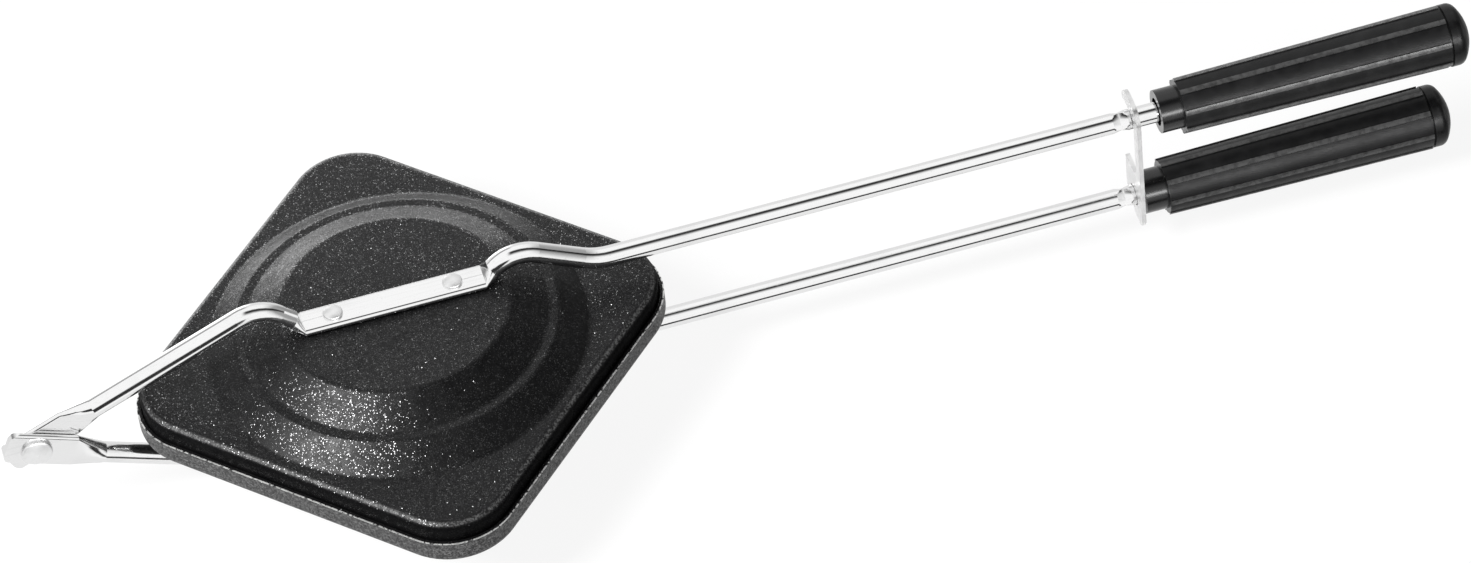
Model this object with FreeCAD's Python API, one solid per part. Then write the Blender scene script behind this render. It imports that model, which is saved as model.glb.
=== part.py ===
import FreeCAD, Part
import math
import os

# A hinged pie iron: two pressed square plates, each riveted to a bent steel tube, with a hinge at one end
# of the tubes and ribbed grips and a swinging latch at the other. Lengths are in millimetres, and angles
# in degrees.
# While the pieces are made, the hinge pin stands at zero along Y, X runs from the hinge to the grips and
# Z = 0 is the level half way between the two arms. A reach is a distance from the hinge pin along X.
# The finished iron is then moved so that the origin lies in the middle of the underside of its box.
# Each place along the iron is counted from the one before it.

# Plates
plate_side = 140.0
plate_corner_radius = 23.3
plate_edge_radius = 3.0
plate_wall = 1.4
plate_half_depth = 8.0
plate_reach = 124.2
rim_level = 1.2
nest_clearance = 0.35
nest_depth = 2.0

# Stepped round middle of a plate: heights count from the flat of the plate's corners
dome_foot_margin = 6.9
lower_slope_width = 9.4
terrace_width = 3.3
upper_slope_width = 11.8
terrace_height = 7.3
disc_rise = 7.2
dome_foot_fillet = 2.5
dome_skirt = 0.95
terrace_fillet = 1.6
disc_fillet = 3.0

# Bent tube
tube_diameter = 7.0
tube_wall = 0.9
leg_set_off = 1.5
first_hump_run = 13.4
first_hump_level = 37.1
second_hump_run = 11.2
second_hump_level = 32.9
second_slope_run = 26.6
run_level = 18.3
run_to_bore = 10.0
hump_radius = 12.0
run_bend_radius = 20.0
lower_run_shortfall = 6.9

# Crimp in the tube that keeps the latch from sliding forward: four ears between four dents
crimp_length = 5.0
crimp_ear_height = 0.5
crimp_dent_depth = 0.6
crimp_to_latch = 1.3

# Flattened stretches of the tube: the bar on the plate and the blade at the hinge
bar_length = 61.0
bar_width = 10.2
bar_thickness = 2.8
bar_pinch_length = 5.0
bar_crease_width = 0.35
bar_crease_depth = 0.4
blade_width = 12.8
blade_thickness = 2.2
blade_tail_length = 10.5
blade_neck_length = 13.0
blade_pinch_length = 11.0
blade_corner_radius = 3.6
blade_gap = 0.2

# Rivets: the shoulder of a head is rounded over a share of its upright side
rivet_shoulder_share = 0.7
hinge_shank_diameter = 5.0
hinge_running_clearance = 0.08
hinge_head_diameter = 10.4
hinge_head_side = 1.3
hinge_crown_height = 0.9
hinge_tail_diameter = 8.4
hinge_tail_height = 1.5
hinge_tail_clearance = 0.15
plate_rivet_spacing = 40.5
plate_rivet_shank_diameter = 4.0
plate_rivet_head_diameter = 6.6
plate_rivet_head_side = 0.8
plate_rivet_crown_height = 0.8
plate_rivet_tail_diameter = 6.4
plate_rivet_tail_height = 0.9

# Latch: heights count from the middle of the lower tube, on which it turns
run_to_latch = 184.5
latch_thickness = 1.5
latch_running_clearance = 0.35
latch_roof_clearance = 0.35
latch_strip_clearance = 0.5
latch_strip_width = 4.2
latch_ear_width = 4.4
latch_tip_overhang = 5.1
latch_finger_height = 4.9
latch_foot_width = 5.1
latch_ear_height = 11.8
latch_chamfer_height = 2.0
latch_chamfer_edge = 1.0
latch_corner_radius = 2.5
latch_finger_radius = 5.9
latch_ear_fillet = 4.7
latch_seat_fillet = 1.2

# Grips
latch_to_neck = 7.9
neck_diameter = 14.8
neck_length = 7.6
neck_recess_diameter = 9.6
neck_recess_depth = 14.0
grip_length = 92.8
grip_front_diameter = 19.4
grip_end_diameter = 21.9
grip_rib_count = 8
grip_rib_width = 1.7
grip_rib_height = 0.6
grip_bore_clearance = 0.05
grip_web_thickness = 4.0
grip_pocket_diameter = 10.0
grip_pocket_depth = 16.0
lower_grip_turn = 38.0
upper_grip_turn = 17.0

# Caps that close the grips
cap_inset = 0.3
cap_seam_width = 0.7
cap_seam_depth = 0.9
cap_length = 8.5
cap_crown_radius = 16.2
cap_shoulder_radius = 3.0
cap_spigot_clearance = 0.05
cap_spigot_length = 9.0

# Screws and threaded inserts that hold the grips on the tubes
grip_screw_diameter = 4.0
grip_screw_length = 12.0
grip_screw_head_diameter = 8.0
grip_screw_head_height = 2.8
grip_screw_slot_width = 1.0
grip_screw_slot_depth = 1.2
insert_length = 16.0

# How far a cutting tool runs past the faces that it cuts, and the shortest straight run that a path keeps
overrun = 1.0
shortest_run = 0.001

# Sizes that follow from the ones above
tube_radius = tube_diameter / 2
tube_bore_radius = tube_radius - tube_wall
dome_foot_radius = plate_side / 2 - dome_foot_margin
terrace_outer_radius = dome_foot_radius - lower_slope_width
terrace_inner_radius = terrace_outer_radius - terrace_width
disc_radius = terrace_inner_radius - upper_slope_width
disc_height = terrace_height + disc_rise
bar_level = plate_half_depth + disc_height + bar_thickness / 2
bar_start_reach = plate_reach - bar_length / 2
bar_end_reach = plate_reach + bar_length / 2
blade_middle = (blade_gap + blade_thickness) / 2
blade_outer_face = blade_gap / 2 + blade_thickness
first_hump_reach = bar_start_reach - first_hump_run
second_hump_reach = bar_end_reach + second_hump_run
run_start_reach = second_hump_reach + second_slope_run
latch_reach = run_start_reach + run_to_latch
crimp_end_reach = latch_reach - crimp_to_latch
crimp_start_reach = crimp_end_reach - crimp_length
neck_front_reach = latch_reach + latch_thickness + latch_to_neck
grip_front_reach = neck_front_reach + neck_length
grip_end_reach = grip_front_reach + grip_length
grip_screw_seat_reach = grip_end_reach - grip_pocket_depth
tube_end_reach = grip_screw_seat_reach - grip_web_thickness

ORIGIN = FreeCAD.Vector(0, 0, 0)
X_AXIS = FreeCAD.Vector(1, 0, 0)
Y_AXIS = FreeCAD.Vector(0, 1, 0)
Z_AXIS = FreeCAD.Vector(0, 0, 1)
FULL_TURN = 360.0
HALF_TURN = 180.0
QUARTER_TURN = 90.0


def in_side_plane(x, z):
    """A point of the upright plane in which the tubes are bent."""
    return FreeCAD.Vector(x, 0, z)


def rounded_wire(points, radii, closed):
    """Straight runs through the points, with a tangent arc of the given radius at each corner."""
    count = len(points)
    run_ends = list(points)
    run_starts = list(points)
    arcs = [None] * count
    for index, radius in enumerate(radii):
        if radius == 0:
            continue
        corner = points[index]
        back = (points[index - 1] - corner).normalize()
        ahead = (points[(index + 1) % count] - corner).normalize()
        half_angle = back.getAngle(ahead) / 2
        run_ends[index] = corner + back * (radius / math.tan(half_angle))
        run_starts[index] = corner + ahead * (radius / math.tan(half_angle))
        crown = corner + (back + ahead).normalize() * (radius / math.sin(half_angle) - radius)
        arcs[index] = Part.Arc(run_ends[index], crown, run_starts[index]).toShape()
    edges = []
    for index in range(count):
        if arcs[index]:
            edges.append(arcs[index])
        following = (index + 1) % count
        wanted = closed or following != 0
        if wanted and run_starts[index].distanceToPoint(run_ends[following]) > shortest_run:
            edges.append(Part.LineSegment(run_starts[index], run_ends[following]).toShape())
    return Part.Wire(edges)


def bore(radius, start, direction, length):
    """A round cutting tool that runs past both of its ends."""
    return Part.makeCylinder(radius, length + 2 * overrun, start - direction * overrun, direction)


def turned_over(shape):
    """The same piece on the other side of the parting level, turned about the long axis."""
    copy = shape.copy()
    copy.rotate(ORIGIN, X_AXIS, HALF_TURN)
    return copy


# Pressed plates


def tray_block(side, corner_radius, edge_radius, top_level, bottom_level):
    """A square block with round corners, its diagonal along X and its upper edge rounded over."""
    half_diagonal = side / math.sqrt(2)
    corners = [
        FreeCAD.Vector(half_diagonal, 0, bottom_level),
        FreeCAD.Vector(0, half_diagonal, bottom_level),
        FreeCAD.Vector(-half_diagonal, 0, bottom_level),
        FreeCAD.Vector(0, -half_diagonal, bottom_level),
    ]
    outline = rounded_wire(corners, [corner_radius] * len(corners), True)
    block = Part.Face(outline).extrude(Z_AXIS * (top_level - bottom_level))
    top_face = max(block.Faces, key=lambda face: face.CenterOfMass.z)
    return block.makeFillet(edge_radius, top_face.Edges)


def stepped_dome(base_level, root_level):
    """The round middle: two conical steps with a narrow terrace between them and a flat disc on top."""
    skirt_radius = dome_foot_radius + dome_skirt
    points = [
        in_side_plane(0, base_level + disc_height),
        in_side_plane(disc_radius, base_level + disc_height),
        in_side_plane(terrace_inner_radius, base_level + terrace_height),
        in_side_plane(terrace_outer_radius, base_level + terrace_height),
        in_side_plane(dome_foot_radius, base_level),
        in_side_plane(skirt_radius, base_level),
        in_side_plane(skirt_radius, root_level),
        in_side_plane(0, root_level),
    ]
    radii = [0, disc_fillet, terrace_fillet, terrace_fillet, dome_foot_fillet, 0, 0, 0]
    profile = Part.Face(rounded_wire(points, radii, True))
    return profile.revolve(ORIGIN, Z_AXIS, FULL_TURN)


def pressed_body(side, corner_radius, edge_radius, flat_level, lip_level):
    """One side of the pressed sheet, as a full body: a square block with the stepped dome on it."""
    block = tray_block(side, corner_radius, edge_radius, flat_level, lip_level)
    dome = stepped_dome(flat_level, (flat_level + lip_level) / 2)
    return block.fuse(dome).removeSplitter()


def rivet_reaches():
    """Where the two rivets of a plate stand along the bar."""
    return [plate_reach - plate_rivet_spacing / 2, plate_reach + plate_rivet_spacing / 2]


def pressed_plate(side, corner_radius, lip_level):
    """A plate as it lies on top of the iron: open below, with the dome pressed up out of it."""
    outside = pressed_body(side, corner_radius, plate_edge_radius, plate_half_depth, lip_level)
    inside = pressed_body(
        side - 2 * plate_wall,
        corner_radius - plate_wall,
        plate_edge_radius - plate_wall,
        plate_half_depth - plate_wall,
        lip_level - overrun,
    )
    plate = outside.cut(inside)
    plate.translate(X_AXIS * plate_reach)
    for reach in rivet_reaches():
        foot = in_side_plane(reach, bar_level - bar_thickness / 2 - plate_wall)
        plate = plate.cut(bore(plate_rivet_shank_diameter / 2, foot, Z_AXIS, plate_wall))
    return plate


def make_lower_plate():
    """The outer plate, whose upright rim takes in the wall of the other one."""
    return turned_over(pressed_plate(plate_side, plate_corner_radius, -rim_level))


def make_upper_plate():
    """The inner plate, smaller all round by the other's wall and a clearance."""
    inset = plate_wall + nest_clearance
    return pressed_plate(plate_side - 2 * inset, plate_corner_radius - inset, rim_level - nest_depth)


# Bent and flattened tubes


def four_arc_section(centre, across, through, corner_radius, crown_radius):
    """A section of four arcs over crowns, from corner to corner in the order of a flattened section's edges."""
    corner_share = 1 / math.sqrt(2)
    directions = [across + through, through - across, -across - through, across - through]
    crowns = [through, -across, -through, across]
    corners = [centre + direction * (corner_radius * corner_share) for direction in directions]
    edges = []
    for index, crown in enumerate(crowns):
        following = corners[(index + 1) % len(corners)]
        edges.append(Part.Arc(corners[index], centre + crown * crown_radius, following).toShape())
    return Part.Wire(edges)


def round_section(centre, across, through):
    """The tube's own round outline."""
    return four_arc_section(centre, across, through, tube_radius, tube_radius)


def flattened_section(centre, across, through, width, thickness):
    """The outline of the pressed tube: two flats joined by half circles."""
    half_flat = (width - thickness) / 2
    half_thickness = thickness / 2
    corners = [
        centre + across * half_flat + through * half_thickness,
        centre - across * half_flat + through * half_thickness,
        centre - across * half_flat - through * half_thickness,
        centre + across * half_flat - through * half_thickness,
    ]
    left_end = centre - across * (width / 2)
    right_end = centre + across * (width / 2)
    return Part.Wire([
        Part.LineSegment(corners[0], corners[1]).toShape(),
        Part.Arc(corners[1], left_end, corners[2]).toShape(),
        Part.LineSegment(corners[2], corners[3]).toShape(),
        Part.Arc(corners[3], right_end, corners[0]).toShape(),
    ])


def pinch(flat_outline, round_outline):
    """The short stretch in which the tube goes from flat to round."""
    return Part.makeLoft([flat_outline, round_outline], True, True)


def swept_tube(points, radii):
    """A stretch of round tube along straight runs and bends."""
    path = rounded_wire(points, radii, False)
    start_direction = (points[1] - points[0]).normalize()
    outline = Part.Wire(Part.makeCircle(tube_radius, points[0], start_direction))
    return path.makePipe(Part.Face(outline))


def leg_angle():
    """How steeply the leg rises from beside the hinge pin to the corner of the first hump."""
    distance = math.hypot(first_hump_reach, first_hump_level)
    return math.atan2(first_hump_level, first_hump_reach) - math.asin(leg_set_off / distance)


def leg_direction():
    """The way from the hinge up to the first hump."""
    return in_side_plane(math.cos(leg_angle()), math.sin(leg_angle()))


def leg_outward():
    """Square to the leg, away from the plates."""
    return in_side_plane(-math.sin(leg_angle()), math.cos(leg_angle()))


def leg_point(distance):
    """A point of the leg's middle line, which passes outside the hinge pin by the set-off."""
    return leg_direction() * distance + leg_outward() * leg_set_off


def hinge_blade():
    """The flattened end of the tube, with its free corners rounded, on its own side of the middle plane."""
    along = leg_direction()
    outward = leg_outward()
    tail = along * -blade_tail_length + Y_AXIS * blade_middle
    strip = Part.Face(flattened_section(tail, outward, Y_AXIS, blade_width, blade_thickness))
    strip = strip.extrude(along * (blade_tail_length + blade_neck_length))
    half_width = outward * (blade_width / 2)
    outline = [
        along * -blade_tail_length + half_width,
        along * -blade_tail_length - half_width,
        along * (blade_neck_length + overrun) - half_width,
        along * (blade_neck_length + overrun) + half_width,
    ]
    rounding = Part.Face(rounded_wire(outline, [blade_corner_radius, blade_corner_radius, 0, 0], True))
    return strip.common(rounding.extrude(Y_AXIS * (blade_outer_face + overrun)))


def latch_crimp():
    """The stretch of tube beside the latch, dented on four sides so that ears stand out between the dents."""
    ear = tube_radius + crimp_ear_height
    dent = tube_radius - crimp_dent_depth
    across = (Y_AXIS + Z_AXIS).normalize()
    through = (Z_AXIS - Y_AXIS).normalize()
    start = in_side_plane(crimp_start_reach, run_level)
    end = in_side_plane(crimp_end_reach, run_level)
    sections = [
        round_section(start, across, through),
        four_arc_section((start + end) / 2, across, through, ear, dent),
        round_section(end, across, through),
    ]
    return Part.makeLoft(sections, True, True)


def bar_crease(start_reach, end_reach):
    """A cutting tool for the fold line that the pressing leaves in the bar's top."""
    level = bar_level + bar_thickness / 2 - bar_crease_depth
    corner = FreeCAD.Vector(start_reach, -bar_crease_width / 2, level)
    return Part.makeBox(end_reach - start_reach, bar_crease_width, bar_crease_depth + overrun, corner)


def make_arm(shortfall):
    """The upper arm: blade, leg, hump, riveted bar, second hump and the long run into the grip."""
    flat_across = Y_AXIS
    bar_start = in_side_plane(bar_start_reach, bar_level)
    bar_end = in_side_plane(bar_end_reach, bar_level)
    first_corner = in_side_plane(first_hump_reach, first_hump_level)
    second_corner = in_side_plane(second_hump_reach, second_hump_level)
    run_corner = in_side_plane(run_start_reach, run_level)
    crimp_start = in_side_plane(crimp_start_reach, run_level)
    crimp_end = in_side_plane(crimp_end_reach, run_level)
    end_reach = tube_end_reach - shortfall

    leg_start = leg_point(blade_neck_length + blade_pinch_length)
    way_up = (first_corner - bar_start).normalize()
    way_on = (second_corner - bar_end).normalize()
    leg_end = bar_start + way_up * bar_pinch_length
    run_in = bar_end + way_on * bar_pinch_length

    neck = leg_direction() * blade_neck_length + Y_AXIS * blade_middle
    blade_outline = flattened_section(neck, leg_outward(), Y_AXIS, blade_width, blade_thickness)
    leg_outline = round_section(leg_start, leg_outward(), Y_AXIS)
    bar_outline = flattened_section(bar_start, flat_across, Z_AXIS, bar_width, bar_thickness)
    bar_end_outline = flattened_section(bar_end, flat_across, Z_AXIS, bar_width, bar_thickness)
    leg_end_outline = round_section(leg_end, flat_across, way_up.cross(flat_across))
    run_in_outline = round_section(run_in, flat_across, flat_across.cross(way_on) * -1)

    pieces = [
        pinch(blade_outline, leg_outline),
        swept_tube([leg_start, first_corner, leg_end], [0, hump_radius, 0]),
        pinch(bar_outline, leg_end_outline),
        Part.Face(bar_outline).extrude(bar_end - bar_start),
        pinch(bar_end_outline, run_in_outline),
        swept_tube([run_in, second_corner, run_corner, crimp_start], [0, hump_radius, run_bend_radius, 0]),
        latch_crimp(),
        Part.makeCylinder(tube_radius, end_reach - crimp_end_reach, crimp_end, X_AXIS),
    ]
    arm = hinge_blade().fuse(pieces).removeSplitter()

    narrowed_radius = tube_bore_radius - crimp_dent_depth
    bore_start = in_side_plane(run_start_reach + run_to_bore, run_level)
    arm = arm.cut(Part.makeCylinder(narrowed_radius, end_reach - bore_start.x + overrun, bore_start, X_AXIS))
    arm = arm.cut(Part.makeCylinder(tube_bore_radius, crimp_start_reach - bore_start.x, bore_start, X_AXIS))
    arm = arm.cut(Part.makeCylinder(tube_bore_radius, end_reach - crimp_end_reach + overrun, crimp_end, X_AXIS))
    hinge_hole_radius = hinge_shank_diameter / 2 + hinge_running_clearance
    arm = arm.cut(bore(hinge_hole_radius, ORIGIN, Y_AXIS, blade_outer_face))
    for reach in rivet_reaches():
        foot = in_side_plane(reach, bar_level - bar_thickness / 2)
        arm = arm.cut(bore(plate_rivet_shank_diameter / 2, foot, Z_AXIS, bar_thickness))
    near_rivet, far_rivet = rivet_reaches()
    arm = arm.cut(bar_crease(bar_start_reach, near_rivet))
    return arm.cut(bar_crease(far_rivet, bar_end_reach))


# Rivets


def headed_rivet(
    shank_diameter, clamped_length, head_diameter, head_side, crown_height, tail_diameter, tail_height
):
    """A rivet along Z: head with upright side and low crown above zero, shank, and hammered tail below."""
    head_radius = head_diameter / 2
    head_height = head_side + crown_height
    crown_radius = (head_radius ** 2 + crown_height ** 2) / (2 * crown_height)
    crown_centre = head_height - crown_radius
    half_angle = math.asin(head_radius / crown_radius) / 2
    crown_middle = in_side_plane(
        crown_radius * math.sin(half_angle),
        crown_centre + crown_radius * math.cos(half_angle),
    )
    crown_edge = in_side_plane(head_radius, head_side)
    crown = Part.Arc(crown_edge, crown_middle, in_side_plane(0, head_height)).toShape()
    tail_level = -clamped_length - tail_height
    outline = Part.makePolygon([
        in_side_plane(0, head_height),
        in_side_plane(0, tail_level),
        in_side_plane(tail_diameter / 2, tail_level),
        in_side_plane(tail_diameter / 2, -clamped_length),
        in_side_plane(shank_diameter / 2, -clamped_length),
        in_side_plane(shank_diameter / 2, 0),
        in_side_plane(head_radius, 0),
        crown_edge,
    ])
    rivet = Part.Face(Part.Wire([crown] + outline.Edges)).revolve(ORIGIN, Z_AXIS, FULL_TURN)
    shoulder_level = head_side / 2
    shoulders = [edge for edge in rivet.Edges if edge.Closed and edge.CenterOfMass.z > shoulder_level]
    return rivet.makeFillet(head_side * rivet_shoulder_share, shoulders)


def make_hinge_rivet():
    """The pivot of the two arms: its head on the lower arm's blade and its tail behind the upper one's."""
    clamped_length = 2 * blade_outer_face + hinge_tail_clearance
    rivet = headed_rivet(
        hinge_shank_diameter,
        clamped_length,
        hinge_head_diameter,
        hinge_head_side,
        hinge_crown_height,
        hinge_tail_diameter,
        hinge_tail_height,
    )
    rivet.rotate(ORIGIN, X_AXIS, QUARTER_TURN)
    rivet.translate(Y_AXIS * -blade_outer_face)
    return rivet


def make_plate_rivets():
    """The two rivets that hold the upper plate on its bar, their tails flat inside the tray."""
    rivets = []
    for reach in rivet_reaches():
        rivet = headed_rivet(
            plate_rivet_shank_diameter,
            bar_thickness + plate_wall,
            plate_rivet_head_diameter,
            plate_rivet_head_side,
            plate_rivet_crown_height,
            plate_rivet_tail_diameter,
            plate_rivet_tail_height,
        )
        rivet.translate(in_side_plane(reach, bar_level + bar_thickness / 2))
        rivets.append(rivet)
    return Part.makeCompound(rivets)


# Latch


def make_latch():
    """The flat hook: an ear round the lower tube, a narrow strip, and a finger over the upper tube."""
    tube_distance = 2 * run_level
    roof_radius = tube_distance + tube_radius + latch_roof_clearance
    top = roof_radius + latch_finger_height
    mouth_middle = (latch_ear_height + roof_radius) / 2
    strip_edge = -tube_radius - latch_strip_clearance
    near_edge = strip_edge - latch_strip_width
    ear_edge = tube_radius + latch_ear_width
    tip_edge = tube_radius + latch_tip_overhang
    foot = -tube_radius - latch_foot_width
    corners = [
        (near_edge, foot, latch_corner_radius),
        (near_edge, top, latch_finger_radius),
        (tip_edge, top, latch_finger_radius),
        (tip_edge, mouth_middle, 0),
        (ear_edge, mouth_middle, 0),
        (ear_edge, -latch_chamfer_height, latch_corner_radius),
        (-latch_chamfer_edge, foot, latch_corner_radius),
    ]
    points = [FreeCAD.Vector(0, across, height) for across, height, radius in corners]
    radii = [radius for across, height, radius in corners]
    blank = Part.Face(rounded_wire(points, radii, True)).extrude(X_AXIS * latch_thickness)

    depth = latch_thickness + 2 * overrun
    mouth_corner = FreeCAD.Vector(-overrun, strip_edge, latch_ear_height)
    mouth_width = tip_edge + overrun - strip_edge
    mouth = Part.makeBox(depth, mouth_width, roof_radius, mouth_corner)
    mouth = mouth.common(bore(roof_radius, ORIGIN, X_AXIS, latch_thickness))
    for radius, height in ((latch_ear_fillet, latch_ear_height), (latch_seat_fillet, roof_radius)):
        mouth = mouth.makeFillet(radius, [nearest_long_edge(mouth, strip_edge, height)])
    latch = blank.cut(mouth)
    latch = latch.cut(bore(tube_radius + latch_running_clearance, ORIGIN, X_AXIS, latch_thickness))
    latch.translate(in_side_plane(latch_reach, -run_level))
    return latch


def nearest_long_edge(solid, across, height):
    """The edge along X that lies nearest to a place in the latch's outline."""
    target = FreeCAD.Vector(0, across, height)
    edges = [edge for edge in solid.Edges if abs(edge.tangentAt(edge.FirstParameter).x) == 1]
    return min(edges, key=lambda edge: (edge.CenterOfMass - target - X_AXIS * edge.CenterOfMass.x).Length)


# Grips and what is in them


def ribbed_outline(reach, outer_diameter, turn):
    """The grip's outline square to its axis: broad faces between narrow raised ribs."""
    crest_radius = outer_diameter / 2
    face_radius = crest_radius - grip_rib_height
    half_rib = grip_rib_width / 2
    crest_angle = math.asin(half_rib / crest_radius)
    face_angle = math.asin(half_rib / face_radius)
    pitch = 2 * math.pi / grip_rib_count

    def at(radius, angle):
        return FreeCAD.Vector(reach, radius * math.cos(angle), radius * math.sin(angle))

    edges = []
    for index in range(grip_rib_count):
        middle = math.radians(turn) + index * pitch
        following = middle + pitch
        crest_start = at(crest_radius, middle - crest_angle)
        crest_end = at(crest_radius, middle + crest_angle)
        face_start = at(face_radius, middle + face_angle)
        rising = Part.LineSegment(at(face_radius, middle - face_angle), crest_start)
        crest = Part.Arc(crest_start, at(crest_radius, middle), crest_end)
        falling = Part.LineSegment(crest_end, face_start)
        face_middle = at(face_radius, middle + pitch / 2)
        face = Part.Arc(face_start, face_middle, at(face_radius, following - face_angle))
        edges.extend(curve.toShape() for curve in (rising, crest, falling, face))
    return Part.Wire(edges)


def make_grip(turn):
    """A grip about the X axis: ribbed handle, round neck with a hollow front, bore, web and pocket."""
    front = ribbed_outline(grip_front_reach, grip_front_diameter, turn)
    end = ribbed_outline(grip_end_reach, grip_end_diameter, turn)
    handle = Part.makeLoft([front, end], True, True)
    neck_front = X_AXIS * neck_front_reach
    neck = Part.makeCylinder(neck_diameter / 2, neck_length + overrun, neck_front, X_AXIS)
    grip = handle.fuse(neck)
    recess_start = neck_front_reach - overrun
    cuts = [
        (neck_recess_diameter / 2, recess_start, neck_front_reach + neck_recess_depth),
        (tube_radius + grip_bore_clearance, recess_start, tube_end_reach),
        (grip_screw_diameter / 2, recess_start, grip_end_reach),
        (grip_pocket_diameter / 2, grip_screw_seat_reach, grip_end_reach + overrun),
    ]
    for radius, start, finish in cuts:
        grip = grip.cut(Part.makeCylinder(radius, finish - start, X_AXIS * start, X_AXIS))
    return grip


def make_cap():
    """A cap about the X axis: spigot in the grip's pocket, seam groove, rim and domed end."""
    rim_reach = grip_end_reach + cap_seam_width
    end_reach = grip_end_reach + cap_length
    spigot_radius = grip_pocket_diameter / 2 - cap_spigot_clearance
    cap_radius = grip_end_diameter / 2 - cap_inset
    seam_radius = cap_radius - cap_seam_depth
    crown_centre = end_reach - cap_crown_radius
    shoulder_angle = math.asin(cap_radius / cap_crown_radius)
    shoulder_reach = crown_centre + cap_crown_radius * math.cos(shoulder_angle)
    crown_middle = in_side_plane(
        crown_centre + cap_crown_radius * math.cos(shoulder_angle / 2),
        cap_crown_radius * math.sin(shoulder_angle / 2),
    )
    shoulder = in_side_plane(shoulder_reach, cap_radius)
    crown = Part.Arc(shoulder, crown_middle, in_side_plane(end_reach, 0)).toShape()
    outline = Part.makePolygon([
        in_side_plane(end_reach, 0),
        in_side_plane(grip_end_reach - cap_spigot_length, 0),
        in_side_plane(grip_end_reach - cap_spigot_length, spigot_radius),
        in_side_plane(grip_end_reach, spigot_radius),
        in_side_plane(grip_end_reach, seam_radius),
        in_side_plane(rim_reach, seam_radius),
        in_side_plane(rim_reach, cap_radius),
        shoulder,
    ])
    cap = Part.Face(Part.Wire([crown] + outline.Edges)).revolve(ORIGIN, X_AXIS, FULL_TURN)
    side_middle = (rim_reach + shoulder_reach) / 2
    shoulders = [edge for edge in cap.Edges if edge.Closed and edge.CenterOfMass.x > side_middle]
    return cap.makeFillet(cap_shoulder_radius, shoulders)


def make_grip_screw():
    """The slotted screw about the X axis that draws the grip's web against the end of the tube."""
    seat = X_AXIS * grip_screw_seat_reach
    head = Part.makeCylinder(grip_screw_head_diameter / 2, grip_screw_head_height, seat, X_AXIS)
    shank = Part.makeCylinder(grip_screw_diameter / 2, grip_screw_length, seat, -X_AXIS)
    slot_length = grip_screw_head_diameter + 2 * overrun
    slot_floor = grip_screw_head_height - grip_screw_slot_depth
    slot_corner = seat + FreeCAD.Vector(slot_floor, -slot_length / 2, -grip_screw_slot_width / 2)
    slot_depth = grip_screw_slot_depth + overrun
    slot = Part.makeBox(slot_depth, slot_length, grip_screw_slot_width, slot_corner)
    return head.fuse(shank).cut(slot)


def make_insert():
    """The threaded sleeve about the X axis that is pressed into the end of the tube."""
    start = X_AXIS * (tube_end_reach - insert_length)
    sleeve = Part.makeCylinder(tube_bore_radius, insert_length, start, X_AXIS)
    return sleeve.cut(bore(grip_screw_diameter / 2, start, X_AXIS, insert_length))


def on_run(shape, level, shortfall):
    """A piece made about the X axis, moved onto the straight run of one of the tubes."""
    shape.translate(in_side_plane(-shortfall, level))
    return shape


# The whole iron


def make_pieces():
    """Every piece under the name of its node, still about the hinge pin."""
    pieces = {
        "lower_plate": make_lower_plate(),
        "upper_plate": make_upper_plate(),
        "lower_arm": turned_over(make_arm(lower_run_shortfall)),
        "upper_arm": make_arm(0),
        "hinge_rivet": make_hinge_rivet(),
        "lower_plate_rivets": turned_over(make_plate_rivets()),
        "upper_plate_rivets": make_plate_rivets(),
        "latch": make_latch(),
    }
    sides = [
        ("lower", -run_level, lower_run_shortfall, lower_grip_turn),
        ("upper", run_level, 0, upper_grip_turn),
    ]
    for side, level, shortfall, turn in sides:
        pieces[side + "_grip"] = on_run(make_grip(turn), level, shortfall)
        pieces[side + "_grip_cap"] = on_run(make_cap(), level, shortfall)
        pieces[side + "_grip_screw"] = on_run(make_grip_screw(), level, shortfall)
        pieces[side + "_tube_insert"] = on_run(make_insert(), level, shortfall)
    return pieces


def main():
    """Makes the iron, moves its origin under the middle of its box and writes one file for each piece."""
    pieces = make_pieces()
    box = Part.makeCompound(list(pieces.values())).optimalBoundingBox(False, False)
    to_origin = FreeCAD.Vector(-box.Center.x, -box.Center.y, -box.ZMin)
    os.makedirs("parts", exist_ok=True)
    for name, shape in pieces.items():
        shape.translate(to_origin)
        shape.exportStep("parts/" + name + ".step")
        print(name, "solids", len(shape.Solids), "valid", shape.isValid(), "volume", round(shape.Volume, 1))
    print("hinge pin at", to_origin, "box", box.XLength, box.YLength, box.ZLength)


main()
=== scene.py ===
"""Looks of a hinged pie iron: coated plates, plated tube arms, a zinc latch and moulded grips."""

import logging
import math
from dataclasses import dataclass
from enum import Enum

import bmesh
import bpy
from mathutils import Matrix, Vector


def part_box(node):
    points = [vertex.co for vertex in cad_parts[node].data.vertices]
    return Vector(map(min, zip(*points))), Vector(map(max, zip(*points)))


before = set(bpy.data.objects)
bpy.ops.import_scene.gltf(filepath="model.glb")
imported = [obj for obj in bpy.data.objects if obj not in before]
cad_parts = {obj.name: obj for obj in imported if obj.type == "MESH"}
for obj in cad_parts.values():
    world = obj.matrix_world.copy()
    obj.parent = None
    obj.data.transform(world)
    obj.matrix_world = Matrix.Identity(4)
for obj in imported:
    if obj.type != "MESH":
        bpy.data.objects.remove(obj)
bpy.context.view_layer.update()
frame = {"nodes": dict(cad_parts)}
LOG = logging.getLogger("pie_iron")
MM = 0.001
SHARP_EDGE = math.radians(40.0)
ROUNDING_SEGMENTS = 2
DIAGONAL_SHARE = math.sqrt(0.5)

Colour = tuple[float, float, float, float]
Point = tuple[float, float, float]
WHITE: Colour = (1.0, 1.0, 1.0, 1.0)
RANDOM_MIDDLE: Point = (0.5, 0.5, 0.5)


class Side(Enum):
    """The two halves of the iron."""

    LOWER = "lower"
    UPPER = "upper"


class Channel(Enum):
    """The channels of a cell's random colour that are read."""

    GREEN = "Green"
    BLUE = "Blue"


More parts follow.
